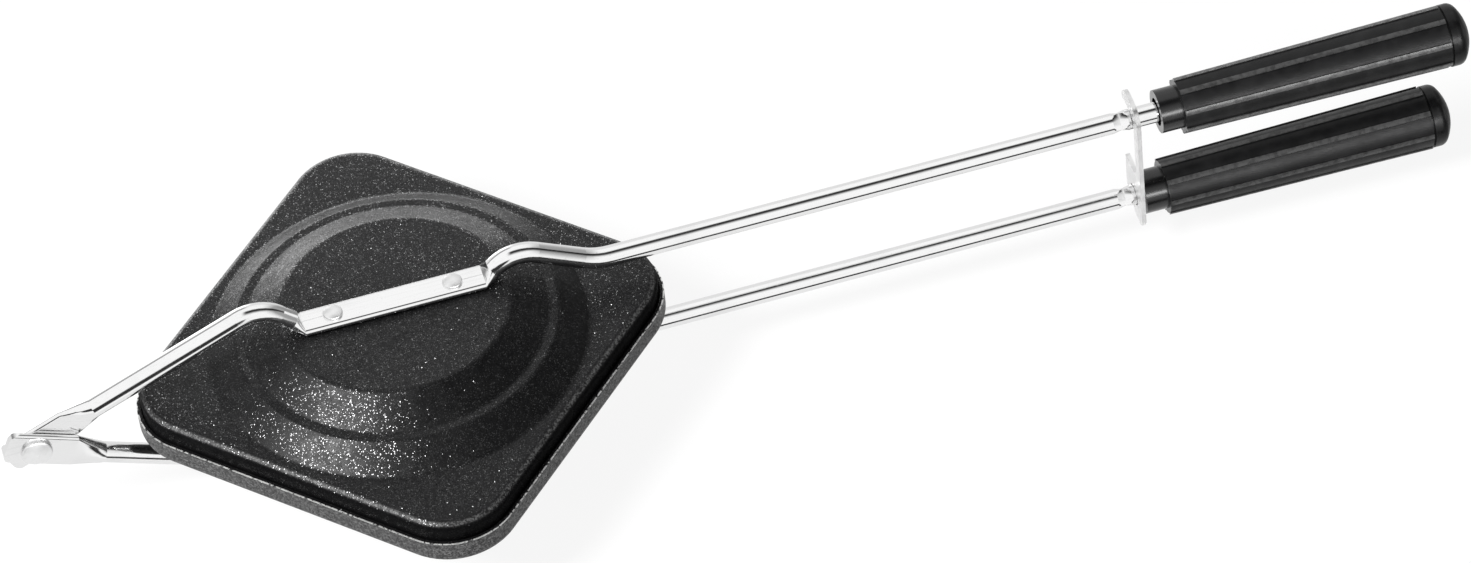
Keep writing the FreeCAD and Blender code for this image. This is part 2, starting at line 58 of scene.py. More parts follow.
@dataclass(frozen=True)
class Ramp:
    """A smooth move between two places of a scale, with the results before its start and after its end."""

    start: float
    end: float
    before: float = 0.0
    after: float = 1.0


@dataclass(frozen=True)
class Patches:
    """Soft random patches: their width in metres, how many finer layers they have, and their ramp."""

    width: float
    detail: float
    fade: Ramp


class Field:
    """A number that changes over a surface, with Python arithmetic in place of Math nodes."""

    def __init__(self, graph: "Graph", socket: bpy.types.NodeSocket) -> None:
        """Wraps one output socket.

        Args:
            graph: The node tree that new Math nodes are added to.
            socket: The output socket that carries the number.
        """
        self.graph = graph
        self.socket = socket

    def _math(self, operation: str, *values: "Field | float") -> "Field":
        """Adds one Math node.

        Args:
            operation: The node's operation.
            values: Its inputs in order.

        Returns:
            The node's output as a field.
        """
        made = self.graph.node("ShaderNodeMath", {"operation": operation}, dict(enumerate(values)))
        return Field(self.graph, made.outputs[0])

    def __add__(self, other: "Field | float") -> "Field":
        """Sum."""
        return self._math("ADD", self, other)

    __radd__ = __add__

    def __sub__(self, other: "Field | float") -> "Field":
        """Difference."""
        return self._math("SUBTRACT", self, other)

    def __rsub__(self, other: "Field | float") -> "Field":
        """Difference with this field taken away."""
        return self._math("SUBTRACT", other, self)

    def __mul__(self, other: "Field | float") -> "Field":
        """Product."""
        return self._math("MULTIPLY", self, other)

    __rmul__ = __mul__

    def __pow__(self, exponent: float) -> "Field":
        """Power."""
        return self._math("POWER", self, exponent)

    def __abs__(self) -> "Field":
        """Absolute value."""
        return self._math("ABSOLUTE", self)

    def above(self, limit: float) -> "Field":
        """One where the field is above the limit, and zero elsewhere."""
        return self._math("GREATER_THAN", self, limit)

    def fraction(self) -> "Field":
        """What is left over above the whole number."""
        return self._math("FRACT", self)

    def larger(self, other: "Field | float") -> "Field":
        """The larger of the two."""
        return self._math("MAXIMUM", self, other)

    def bearing(self, across: "Field") -> "Field":
        """The angle in degrees from the across axis up to this field's own axis."""
        return self._math("ARCTAN2", self, across) * math.degrees(1.0)

    def ramp(self, move: Ramp) -> "Field":
        """Moves smoothly between two values.

        Args:
            move: Where on this field's scale the move lies, and the values that it goes between.

        Returns:
            The moved field.
        """
        places = {"From Min": move.start, "From Max": move.end}
        results = {"To Min": move.before, "To Max": move.after}
        made = self.graph.node(
            "ShaderNodeMapRange", {"interpolation_type": "SMOOTHSTEP"}, {"Value": self, **places, **results}
        )
        return Field(self.graph, made.outputs["Result"])


class Graph:
    """The node tree of one material or world."""

    def __init__(self, tree: bpy.types.NodeTree) -> None:
        """Empties the tree.

        Args:
            tree: The node tree to fill.
        """
        self.tree = tree
        tree.nodes.clear()

    def node(
        self, kind: str, settings: "dict[str, object]", inputs: "dict[str | int, object]"
    ) -> bpy.types.Node:
        """Adds a node, sets its settings, and then its sockets.

        Args:
            kind: The node's type.
            settings: Values of the node's own properties.
            inputs: Values, fields or sockets, by the input's name or place.

        Returns:
            The new node.
        """
        made = self.tree.nodes.new(kind)
        for name, value in settings.items():
            setattr(made, name, value)
        for name, value in inputs.items():
            target = self._input(made, name)
            if isinstance(value, Field):
                self.tree.links.new(value.socket, target)
            elif isinstance(value, bpy.types.NodeSocket):
                self.tree.links.new(value, target)
            else:
                target.default_value = value
        return made

    @staticmethod
    def _input(made: bpy.types.Node, name: "str | int") -> bpy.types.NodeSocket:
        """Finds an input of a node.

        Args:
            made: The node.
            name: The input's place, or its identifier or name.

        Returns:
            The input socket.
        """
        if isinstance(name, int):
            return made.inputs[name]
        by_identifier = [socket for socket in made.inputs if socket.identifier == name]
        return by_identifier[0] if by_identifier else made.inputs[name]

    def place(self) -> bpy.types.NodeSocket:
        """The point of the surface in metres, in the iron's own frame."""
        return self.node("ShaderNodeTexCoord", {}, {}).outputs["Object"]

    def axes(self) -> "tuple[Field, Field, Field]":
        """The point's x, y and z as three fields."""
        made = self.node("ShaderNodeSeparateXYZ", {}, {"Vector": self.place()})
        return tuple(Field(self, made.outputs[name]) for name in ("X", "Y", "Z"))

    def noise(self, width: float, detail: float, vector: "bpy.types.NodeSocket | None" = None) -> Field:
        """Soft random waves, as grey values about one half.

        Args:
            width: The width of one wave, in the point's own units.
            detail: How many finer layers are added.
            vector: The point to read, or None for the surface's own.

        Returns:
            The waves.
        """
        inputs = {"Vector": vector or self.place(), "Scale": 1 / width, "Detail": detail}
        return Field(self, self.node("ShaderNodeTexNoise", {}, inputs).outputs["Fac"])

    def lines(self, scale: Point, detail: float) -> Field:
        """Random waves, drawn out to lines along an axis that has few of them.

        Args:
            scale: How many waves there are to a metre along each axis.
            detail: How many finer layers are added.

        Returns:
            The waves.
        """
        made = self.node("ShaderNodeMapping", {}, {"Vector": self.place(), "Scale": scale})
        return self.noise(1.0, detail, made.outputs["Vector"])

    def patches(self, patches: Patches) -> Field:
        """The random patches, as values between the two of their ramp."""
        return self.noise(patches.width, patches.detail).ramp(patches.fade)

    def cells(self, width: float) -> bpy.types.Node:
        """Random cells of that width in metres, with their Distance and Color outputs."""
        inputs = {"Vector": self.place(), "Scale": 1 / width}
        return self.node("ShaderNodeTexVoronoi", {"feature": "F1"}, inputs)

    def channel(self, colour: bpy.types.NodeSocket, name: Channel) -> Field:
        """One channel of a colour."""
        made = self.node("ShaderNodeSeparateColor", {}, {"Color": colour})
        return Field(self, made.outputs[name.value])

    def blend(
        self,
        first: "Colour | bpy.types.NodeSocket",
        second: "Colour | bpy.types.NodeSocket",
        share: "Field | float",
    ) -> bpy.types.NodeSocket:
        """Mixes two colours.

        Args:
            first: The colour at share 0.
            second: The colour at share 1.
            share: How much of the second is taken.

        Returns:
            The mixed colour's socket.
        """
        made = self.node(
            "ShaderNodeMix",
            {"data_type": "RGBA", "clamp_factor": True},
            {"Factor_Float": share, "A_Color": first, "B_Color": second},
        )
        return next(socket for socket in made.outputs if socket.identifier == "Result_Color")

    def relief(
        self, height: Field, depth: float, under: "bpy.types.NodeSocket | None" = None
    ) -> bpy.types.NodeSocket:
        """Tilts the surface's normal by a height pattern.

        Args:
            height: The pattern, from 0 to 1.
            depth: How deep the pattern is, in metres.
            under: A relief that this one is added to.

        Returns:
            The tilted normal's socket.
        """
        inputs = {"Height": height, "Distance": depth}
        if under is not None:
            inputs["Normal"] = under
        return self.node("ShaderNodeBump", {}, inputs).outputs["Normal"]

    def tilted(self, random_colour: bpy.types.NodeSocket, amount: "Field | float") -> bpy.types.NodeSocket:
        """The surface's normal turned a random way, alike over one cell of the colour.

        Args:
            random_colour: A random colour for each cell.
            amount: How far the normal is turned.

        Returns:
            The turned normal's socket.
        """
        middle = self._vector("SUBTRACT", {0: random_colour, 1: RANDOM_MIDDLE})
        turned = self._vector("SCALE", {0: middle, "Scale": amount})
        normal = self.node("ShaderNodeNewGeometry", {}, {}).outputs["Normal"]
        joined = self._vector("ADD", {0: normal, 1: turned})
        return self._vector("NORMALIZE", {0: joined})

    def _vector(self, operation: str, inputs: "dict[str | int, object]") -> bpy.types.NodeSocket:
        """The result of one Vector Math node."""
        return self.node("ShaderNodeVectorMath", {"operation": operation}, inputs).outputs[0]

    def surface(self, **inputs: object) -> bpy.types.Node:
        """A Principled shader, by socket names with underlines in place of blanks."""
        named = {name.replace("_", " "): value for name, value in inputs.items()}
        return self.node("ShaderNodeBsdfPrincipled", {}, named)

    def layered(self, under: bpy.types.Node, over: bpy.types.Node, share: "Field | float") -> bpy.types.Node:
        """Two shaders in one, the second one to the given share."""
        return self.node("ShaderNodeMixShader", {}, {0: share, 1: under.outputs[0], 2: over.outputs[0]})

    def seen(self) -> Field:
        """Tells whether the surface is looked at.

        Returns:
            One for rays from the camera, mirrors and glass, and zero for light.
        """
        path = self.node("ShaderNodeLightPath", {}, {})
        seen = Field(self, path.outputs["Is Camera Ray"])
        for name in ("Is Glossy Ray", "Is Transmission Ray"):
            seen = seen.larger(Field(self, path.outputs[name]))
        return seen

    def finish(self, shader: bpy.types.Node) -> None:
        """Joins the shader to the material's output."""
        self.node("ShaderNodeOutputMaterial", {}, {"Surface": shader.outputs[0]})


def new_material(name: str) -> "tuple[bpy.types.Material, Graph]":
    """A material with an empty node tree.

    Args:
        name: The material's name.

    Returns:
        The material and its graph.
    """
    material = bpy.data.materials.new(name)
    material.use_nodes = True
    return material, Graph(material.node_tree)


def dress(node_name: str, material: bpy.types.Material) -> None:
    """Gives a CAD node its finish.

    Args:
        node_name: The CAD node's name.
        material: The finish.
    """
    target = frame["nodes"][node_name]
    target.data.materials.clear()
    target.data.materials.append(material)
    for polygon in target.data.polygons:
        polygon.material_index = 0
    LOG.info("%s gets %s", node_name, material.name)


def soften(node_name: str, width: float) -> None:
    """Rounds the sharp edges of a CAD node by a hair, so that they catch the light.

    Args:
        node_name: The CAD node's name.
        width: The width of the rounding.
    """
    rounding = frame["nodes"][node_name].modifiers.new("rounding", "BEVEL")
    rounding.width = width
    rounding.segments = ROUNDING_SEGMENTS
    rounding.limit_method = "ANGLE"
    rounding.angle_limit = SHARP_EDGE


@dataclass(frozen=True)
class RimOutline:
    """The rounded square that a plate's outer wall follows, its diagonal along X."""

    centre: float
    half_side: float
    corner_radius: float
    top: float

    def outside(self, graph: Graph) -> Field:
        """How far a point lies outside the outer wall.

        Args:
            graph: The material's graph.

        Returns:
            The distance: zero on the wall and below zero inside it.
        """
        along, across, _ = graph.axes()
        along = along - self.centre
        reach = self.half_side - self.corner_radius
        first = (abs(along + across) * DIAGONAL_SHARE - reach).larger(0.0)
        second = (abs(along - across) * DIAGONAL_SHARE - reach).larger(0.0)
        return (first * first + second * second) ** 0.5 - self.corner_radius


@dataclass(frozen=True)
class SparkleCoating:
    """Dark baked non-stick coating with fine metal flakes in it.

    The lower plate's wall is rubbed grey, and bare along the corner of its rim. The upper plate's wall is
    painted in shade, as a matt dark shader without the coating's reflections, below a rounded edge that
    carries a painted highlight broken into specks. The ramps of both walls run over a point's distance
    outside the wall, which is below zero inside it. A flake's outline runs over the distance from its
    middle, in cells.
    """

    base: Colour = (0.0022, 0.0022, 0.0024, 1.0)
    worn: Colour = (0.0036, 0.0036, 0.0038, 1.0)
    wear: Patches = Patches(9 * MM, 4.0, Ramp(0.35, 0.75))
    roughness: Patches = Patches(4 * MM, 2.0, Ramp(0.3, 0.7, 0.36, 0.48))
    specular_level: float = 0.15
    grain_size: float = 0.40 * MM
    grain_detail: float = 2.0
    grain_depth: float = 0.030 * MM

    flake: Colour = (0.080, 0.080, 0.081, 1.0)
    flake_roughness: float = 0.19
    flake_size: float = 0.37 * MM
    flake_share: float = 0.72
    flake_outline: Ramp = Ramp(0.30, 0.55, 1.0, 0.0)
    flake_tilt: float = 0.46
    stray_tilt: float = 0.8
    stray_rarity: float = 12.0
    shuffle: float = 7.31
    flake_dust: Patches = Patches(1.5 * MM, 2.0, Ramp(0.4, 0.8))
    flake_drift: Patches = Patches(16 * MM, 3.0, Ramp(0.25, 0.65, 0.55, 1.0))

    lightened: Colour = (0.100, 0.100, 0.100, 1.0)
    rubbed_wall: Ramp = Ramp(-0.5 * MM, -0.05 * MM)
    rubbed_specks: Patches = Patches(0.8 * MM, 2.0, Ramp(0.40, 0.62, 0.30, 1.0))
    brush_scale: Point = (260.0, 260.0, 2200.0)
    brush_detail: float = 3.0
    brush_marks: Ramp = Ramp(0.25, 0.75, 0.5, 1.0)
    bare: Colour = (0.86, 0.86, 0.85, 1.0)
    bare_width: float = 0.42 * MM
    bare_drop: float = 0.20 * MM
    bare_gaps: Patches = Patches(1.0 * MM, 3.0, Ramp(0.40, 0.52))

    # Painted shade on the upper plate's wall: up to 0.8 of a matt dark shader.
    painted_shade_wall: Ramp = Ramp(-0.9 * MM, -0.3 * MM, 0.0, 0.8)
    # Painted highlight: a lighter colour along the upper plate's rounded edge, broken into specks.
    painted_ridge_highlight: Colour = (0.075, 0.075, 0.075, 1.0)
    highlight_inside: Ramp = Ramp(-2.4 * MM, -1.6 * MM)
    highlight_outside: Ramp = Ramp(-1.0 * MM, -0.6 * MM, 1.0, 0.0)
    highlight_specks: Patches = Patches(0.7 * MM, 2.0, Ramp(0.42, 0.60, 0.1, 1.0))

    def material(self, name: str, wall: RimOutline, side: Side) -> bpy.types.Material:
        """Builds the coating.

        Args:
            name: The material's name.
            wall: The plate's outer wall.
            side: The half that the plate belongs to.

        Returns:
            The finished material.
        """
        material, graph = new_material(name)
        paint = graph.blend(self.base, self.worn, graph.patches(self.wear))
        outside = wall.outside(graph)
        bare, painted_shade = 0.0, 0.0
        if side is Side.LOWER:
            paint = graph.blend(paint, self.lightened, self._wall_rubbing(graph, outside))
            bare = self._bare_corner(graph, outside, wall)
            paint = graph.blend(paint, self.bare, bare)
        else:
            # Painted shade: the upper plate's wall goes over to a matt dark shader.
            painted_shade = outside.ramp(self.painted_shade_wall)
            # Painted highlight along the upper plate's rounded edge.
            paint = graph.blend(paint, self.painted_ridge_highlight, self._ridge_painted_highlight(graph, outside))
        coat = graph.surface(
            Base_Color=paint,
            Metallic=bare,
            Roughness=graph.patches(self.roughness),
            Normal=graph.relief(graph.noise(self.grain_size, self.grain_detail), self.grain_depth),
            Specular_IOR_Level=self.specular_level,
        )
        flake, flakes = self._flakes(graph)
        sparkling = graph.layered(coat, flake, flakes * (1 - bare))
        # The painted shade: a matt shader of the coating's colour, with no reflections.
        painted_shade_shader = graph.node("ShaderNodeBsdfDiffuse", {}, {"Color": paint})
        graph.finish(graph.layered(sparkling, painted_shade_shader, painted_shade))
        return material

    def _wall_rubbing(self, graph: Graph, outside: Field) -> Field:
        """Finds where the lower plate's wall is rubbed.

        Args:
            graph: The material's graph.
            outside: How far a point lies outside the wall.

        Returns:
            The rubbed share, brushed along the wall and broken into specks.
        """
        brushed = graph.lines(self.brush_scale, self.brush_detail).ramp(self.brush_marks)
        return outside.ramp(self.rubbed_wall) * brushed * graph.patches(self.rubbed_specks)

    def _bare_corner(self, graph: Graph, outside: Field, rim: RimOutline) -> Field:
        """Finds where the metal of the lower plate's rim is bare.

        Args:
            graph: The material's graph.
            outside: How far a point lies outside the wall.
            rim: The wall, with its top.

        Returns:
            The bare share: a broken line along the outer corner of the sheet's cut edge.
        """
        height = graph.axes()[2]
        corner = outside.above(-self.bare_width) * height.above(rim.top - self.bare_drop)
        return corner * graph.patches(self.bare_gaps)

    def _ridge_painted_highlight(self, graph: Graph, outside: Field) -> Field:
        """Finds where the upper plate's rounded edge gets its painted highlight.

        Args:
            graph: The material's graph.
            outside: How far a point lies outside the wall.

        Returns:
            The share of painted highlight, broken into specks.
        """
        painted_ridge_highlight = outside.ramp(self.highlight_inside) * outside.ramp(self.highlight_outside)
        return painted_ridge_highlight * graph.patches(self.highlight_specks)

    def _flakes(self, graph: Graph) -> "tuple[bpy.types.Node, Field]":
        """Builds the metal flakes, each turned its own way and a few of them much further.

        A flake's rank, from 0 to 1, is shuffled so that it tells nothing about the way the flake is turned.

        Args:
            graph: The material's graph.

        Returns:
            The flakes' shader and their share of the surface.
        """
        cells = graph.cells(self.flake_size)
        random_colour = cells.outputs["Color"]
        rank = (graph.channel(random_colour, Channel.BLUE) * self.shuffle).fraction()
        tilt = rank ** self.stray_rarity * self.stray_tilt + self.flake_tilt
        flake = graph.surface(
            Base_Color=graph.blend(self.flake, self.worn, graph.patches(self.flake_dust)),
            Metallic=1.0,
            Roughness=self.flake_roughness,
            Normal=graph.tilted(random_colour, tilt),
        )
        chosen = rank.above(1 - self.flake_share)
        outline = Field(graph, cells.outputs["Distance"]).ramp(self.flake_outline)
        return flake, chosen * outline * graph.patches(self.flake_drift)


@dataclass(frozen=True)
class BrightPlate:
    """Bright plated steel, drawn along the tube, with dull clouds, streaks and specks."""

    base: Colour = (0.93, 0.93, 0.93, 1.0)
    dull: Colour = (0.74, 0.74, 0.74, 1.0)
    cloud_size: float = 14 * MM
    cloud_detail: float = 4.0
    cloud_colour: Ramp = Ramp(0.45, 0.85, 0.0, 0.35)
    speck: Patches = Patches(0.7 * MM, 2.0, Ramp(0.66, 0.74))
    speck_colour: float = 0.30
    speck_roughness: float = 0.15
    streak_colour: Ramp = Ramp(0.48, 0.72, 0.0, 0.20)
    roughness: Ramp = Ramp(0.3, 0.8, 0.09, 0.15)
    draw_scale: Point = (40.0, 1100.0, 1100.0)
    draw_detail: float = 3.0
    draw_depth: float = 0.0016 * MM
    ripple_size: float = 11.0 * MM
    ripple_detail: float = 1.0
    ripple_depth: float = 0.014 * MM

    def material(self, name: str) -> bpy.types.Material:
        """Builds the plating.

        Args:
            name: The material's name.

        Returns:
            The finished material.
        """
        material, graph = new_material(name)
        drawn = graph.lines(self.draw_scale, self.draw_detail)
        cloud = graph.noise(self.cloud_size, self.cloud_detail)
        speck = graph.patches(self.speck)
        dulled = cloud.ramp(self.cloud_colour) + speck * self.speck_colour + drawn.ramp(self.streak_colour)
        ripples = graph.relief(graph.noise(self.ripple_size, self.ripple_detail), self.ripple_depth)
        graph.finish(graph.surface(
            Base_Color=graph.blend(self.base, self.dull, dulled),
            Metallic=1.0,
            Roughness=cloud.ramp(self.roughness) + speck * self.speck_roughness,
            Normal=graph.relief(drawn, self.draw_depth, ripples),
        ))
        return material


@dataclass(frozen=True)
class ZincSheet:
    """Pale zinc-plated sheet steel with faint spangle and rolled scratches."""

    base: Colour = (0.94, 0.94, 0.935, 1.0)
    shade: Colour = (0.80, 0.80, 0.805, 1.0)
    metallic: float = 0.85
    spangle_size: float = 2.6 * MM
    spangle_colour: float = 0.45
    spangle_roughness: Ramp = Ramp(0.0, 1.0, 0.30, 0.44)
    cloud: Patches = Patches(6 * MM, 3.0, Ramp(0.4, 0.8, 0.0, 0.35))
    scratch_scale: Point = (300.0, 1500.0, 60.0)
    scratch_detail: float = 2.0
    scratch_depth: float = 0.006 * MM

    def material(self, name: str) -> bpy.types.Material:
        """Builds the sheet's finish.

        Args:
            name: The material's name.

        Returns:
            The finished material.
        """
        material, graph = new_material(name)
        spangle = graph.channel(graph.cells(self.spangle_size).outputs["Color"], Channel.GREEN)
        shaded = spangle * self.spangle_colour + graph.patches(self.cloud)
        scratches = graph.lines(self.scratch_scale, self.scratch_detail)
        graph.finish(graph.surface(
            Base_Color=graph.blend(self.base, self.shade, shaded),
            Metallic=self.metallic,
            Roughness=spangle.ramp(self.spangle_roughness),
            Normal=graph.relief(scratches, self.scratch_depth),
        ))
        return material


@dataclass(frozen=True)
class RibbedBody:
    """The tapered body of a grip behind its neck, measured over the ribs that run along it."""

    axis_height: float
    neck_end: float
    end_reach: float
    front_radius: float
    end_radius: float
    rib_height: float

    def proud(self, graph: Graph) -> Field:
        """How far a point stands above the ribs' crests.

        Args:
            graph: The material's graph.

        Returns:
            The distance: zero on a crest and below zero between the ribs.
        """
        along, across, height = graph.axes()
        above = height - self.axis_height
        taper = (self.end_radius - self.front_radius) / (self.end_reach - self.neck_end)
        crest = (along - self.neck_end) * taper + self.front_radius
        return (across * across + above * above) ** 0.5 - crest

    def behind_neck(self, graph: Graph, blend: float) -> Field:
        """One on the ribbed body and zero on the neck, with a short blend between them."""
        return graph.axes()[0].ramp(Ramp(self.neck_end - blend, self.neck_end + blend))


@dataclass(frozen=True)
class MouldedBlack:
    """Black moulded plastic: fine spark-eroded grain on the broad faces, smoother on necks and crests.

    A rib's crest starts and is full at two depths below its top, given as shares of the rib's height.
    The crests are painted lighter as a highlight, most at their edges and in patches, under a polished coat.
    """

    base: Colour = (0.0025, 0.0025, 0.0027, 1.0)
    dusty: Colour = (0.0085, 0.0085, 0.0088, 1.0)
    specular_level: float = 0.24
    roughness: float = 0.40
    smooth_roughness: float = 0.26
    smudge: Patches = Patches(3 * MM, 2.0, Ramp(0.3, 0.7, -0.03, 0.05))
    dust: Patches = Patches(7 * MM, 5.0, Ramp(0.42, 0.75))
    dust_share: float = 0.4
    grain_dust_share: float = 0.6
    grain_size: float = 0.42 * MM
    grain_detail: float = 3.0
    grain_depth: float = 0.055 * MM

    # Painted highlight: the colour that the ribs' crests are lightened to, standing in for the light their
    # edges catch.
    crest: Colour = (0.046, 0.046, 0.046, 1.0)
    crest_start: float = 0.7
    crest_full: float = 0.25
    crest_middle: Ramp = Ramp(-0.13 * MM, -0.05 * MM, 1.0, 0.70)
    crest_highlight_patches: Patches = Patches(2.0 * MM, 4.0, Ramp(0.32, 0.60, 0.45, 1.0))
    crest_gloss: float = 0.12
    crest_smoothing: float = 0.8
    neck_blend: float = 0.3 * MM
    neck_polish: float = 0.60
    polish_roughness: float = 0.20

    cap_dust: Patches = Patches(2.2 * MM, 5.0, Ramp(0.5, 0.8))
    cap_smudge: Patches = Patches(3 * MM, 3.0, Ramp(0.3, 0.7, 0.26, 0.40))
    cap_grain_detail: float = 2.0
    cap_grain_depth: float = 0.0165 * MM

    def grip(self, name: str, ribs: RibbedBody) -> bpy.types.Material:
        """Builds the finish of a ribbed grip.

        Args:
            name: The material's name.
            ribs: The grip's ribbed body.

        Returns:
            The finished material.
        """
        material, graph = new_material(name)
        proud = ribs.proud(graph)
        body = ribs.behind_neck(graph, self.neck_blend)
        on_crest = proud.ramp(Ramp(-ribs.rib_height * self.crest_start, -ribs.rib_height * self.crest_full))
        # The crests' painted highlight, in patches and fullest at the crest's edges; the same share gives
        # the crest its polished coat.
        lightened = graph.patches(self.crest_highlight_patches) * body * on_crest * proud.ramp(self.crest_middle)
        grain = graph.noise(self.grain_size, self.grain_detail)
        dust = graph.patches(self.dust) * body * (grain * self.grain_dust_share + self.dust_share)
        gloss = (1 - body) * (self.roughness - self.smooth_roughness) + on_crest * body * self.crest_gloss
        graph.finish(graph.surface(
            Base_Color=graph.blend(graph.blend(self.base, self.dusty, dust), self.crest, lightened),
            Roughness=self.roughness - gloss + graph.patches(self.smudge),
            Normal=graph.relief(grain * body * (1 - on_crest * self.crest_smoothing), self.grain_depth),
            Specular_IOR_Level=self.specular_level,
            Coat_Weight=lightened + (1 - body) * self.neck_polish,
            Coat_Roughness=self.polish_roughness,
        ))
        return material

    def cap(self, name: str) -> bpy.types.Material:
        """Builds the smoother finish of the end caps.

        Args:
            name: The material's name.

        Returns:
            The finished material.
        """
        material, graph = new_material(name)
        grain = graph.noise(self.grain_size, self.cap_grain_detail)
        graph.finish(graph.surface(
            Base_Color=graph.blend(self.base, self.dusty, graph.patches(self.cap_dust)),
            Roughness=graph.patches(self.cap_smudge),
            Normal=graph.relief(grain, self.cap_grain_depth),
            Specular_IOR_Level=self.specular_level,
        ))
        return material


@dataclass(frozen=True)
class PlainSteel:
    """Dull zinc-plated steel of the hidden screws and sleeves."""

    base: Colour = (0.52, 0.52, 0.50, 1.0)
    stain: Colour = (0.38, 0.37, 0.35, 1.0)
    cloud_size: float = 1.6 * MM
    cloud_detail: float = 4.0
    cloud_colour: Ramp = Ramp(0.4, 0.7)
    roughness: Ramp = Ramp(0.3, 0.8, 0.30, 0.48)
    grain_size: float = 0.3 * MM
    grain_detail: float = 2.0
    grain_depth: float = 0.01 * MM

    def material(self, name: str) -> bpy.types.Material:
        """Builds the finish.

        Args:
            name: The material's name.

        Returns:
            The finished material.
        """
        material, graph = new_material(name)
        cloud = graph.noise(self.cloud_size, self.cloud_detail)
        grain = graph.noise(self.grain_size, self.grain_detail)
        graph.finish(graph.surface(
            Base_Color=graph.blend(self.base, self.stain, cloud.ramp(self.cloud_colour)),
            Metallic=1.0,
            Roughness=cloud.ramp(self.roughness),
            Normal=graph.relief(grain, self.grain_depth),
        ))
        return material


@dataclass
class PlatePair:
    """The two pressed plates."""

    coating: SparkleCoating = SparkleCoating()
    side: float = 140.0 * MM
    corner_radius: float = 23.3 * MM

    def build(self) -> None:
        """Coats both plates, the upper one as far inside the lower one's rim as it lies there."""
        outer_low, outer_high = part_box("lower_plate")
        centre = (outer_low.x + outer_high.x) / 2
        for side in Side:
            name = side.value + "_plate"
            low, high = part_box(name)
            inside = low.x - outer_low.x
            wall = RimOutline(centre, self.side / 2 - inside, self.corner_radius - inside, high.z)
            dress(name, self.coating.material("coated_" + name, wall, side))


@dataclass
class TubeArms:
    """The bent tubes and the rivets in them."""

    plating: BrightPlate = BrightPlate()
    rivet_plating: BrightPlate = BrightPlate(
        roughness=Ramp(0.3, 0.8, 0.40, 0.46), draw_scale=(700.0, 700.0, 700.0), draw_depth=0.003 * MM
    )

    def build(self) -> None:
        """Plates both arms and all rivets."""
        tube = self.plating.material("plated_tube")
        rivet = self.rivet_plating.material("plated_rivet")
        for side in Side:
            dress(side.value + "_arm", tube)
            dress(side.value + "_plate_rivets", rivet)
        dress("hinge_rivet", rivet)


@dataclass
class Latch:
    """The flat hook on the lower tube."""

    finish: ZincSheet = ZincSheet()
    edge_rounding: float = 0.18 * MM

    def build(self) -> None:
        """Gives the hook its zinc."""
        dress("latch", self.finish.material("zinc_latch"))
        soften("latch", self.edge_rounding)


@dataclass
class Grips:
    """The moulded grips with their caps, and the screws and sleeves inside."""

    moulding: MouldedBlack = MouldedBlack()
    fixing: PlainSteel = PlainSteel()
    neck_length: float = 7.6 * MM
    front_radius: float = 9.7 * MM
    end_radius: float = 10.95 * MM
    rib_height: float = 0.6 * MM
    edge_rounding: float = 0.38 * MM

    def build(self) -> None:
        """Dresses both grips and what is in them."""
        cap = self.moulding.cap("moulded_cap")
        steel = self.fixing.material("screw_steel")
        for side in Side:
            name = side.value + "_grip"
            dress(name, self.moulding.grip("moulded_" + name, self._ribs(name)))
            soften(name, self.edge_rounding)
            dress(name + "_cap", cap)
            dress(name + "_screw", steel)
            dress(side.value + "_tube_insert", steel)

    def _ribs(self, grip_name: str) -> RibbedBody:
        """Takes the place of a grip's ribbed body from the frame.

        Args:
            grip_name: The grip's node.

        Returns:
            The ribbed body.
        """
        low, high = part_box(grip_name)
        return RibbedBody(
            axis_height=(low.z + high.z) / 2,
            neck_end=low.x + self.neck_length,
            end_reach=high.x,
            front_radius=self.front_radius,
            end_radius=self.end_radius,
            rib_height=self.rib_height,
        )


@dataclass(frozen=True)
class SoftLamp:
    """A rectangular lamp and the pieces it shines on, by the ends of their names."""

    name: str
    place: Point
    size: "tuple[float, float]"
    power: float
    shines_on: "tuple[str, ...]"

    def build(self, target: Point, pieces: "dict[str, bpy.types.Object]") -> None:
        """Hangs the lamp.

        Args:
            target: The point that it faces.
            pieces: Everything that a lamp can shine on.
        """
        light = bpy.data.lights.new(self.name, "AREA")
        light.shape = "RECTANGLE"
        light.size, light.size_y = self.size
        light.energy = self.power
        lamp = bpy.data.objects.new(self.name, light)
        lamp.location = self.place
        lamp.rotation_mode = "QUATERNION"
        lamp.rotation_quaternion = (Vector(target) - Vector(self.place)).to_track_quat("-Z", "Y")
        lit = bpy.data.collections.new("lit_by_" + self.name)
        for name, piece in pieces.items():
            if name.endswith(self.shines_on):
                lit.objects.link(piece)
        lamp.light_linking.receiver_collection = lit
        bpy.context.scene.collection.objects.link(lamp)


DARK_PIECES = ("_plate", "_grip", "_cap", "_screw", "_insert")
FRONT_PIECES = ("lower_plate", "_grip", "_cap", "_rivet", "_rivets")
LAMPS = (
    SoftLamp("left_lamp", (-0.94, -0.31, 1.09), (0.50, 0.50), 38.0, DARK_PIECES + ("floor",)),
    SoftLamp("front_lamp", (0.20, -1.5, 0.60), (1.8, 0.36), 22.0, FRONT_PIECES + ("floor",)),
    SoftLamp("far_lamp", (-0.04, 0.80, 0.14), (0.80, 0.24), 4.0, ("upper_plate",)),
    SoftLamp("high_lamp", (-0.09, 0.37, 0.36), (0.14, 0.14), 0.18, ("upper_plate",)),
)


@dataclass(frozen=True)
class Span:
    """A stretch of a scale with soft ends. An end that isn't given is open."""

    rise: "tuple[float, float] | None" = None
    fall: "tuple[float, float] | None" = None

    def share(self, scale: Field) -> "Field | float":
        """Finds what lies in the span.

        Args:
            scale: The scale that the span is a stretch of.

        Returns:
            One inside the span and zero outside it.
        """
        risen = scale.ramp(Ramp(*self.rise)) if self.rise else 1.0
        return scale.ramp(Ramp(*self.fall, 1.0, 0.0)) * risen if self.fall else risen


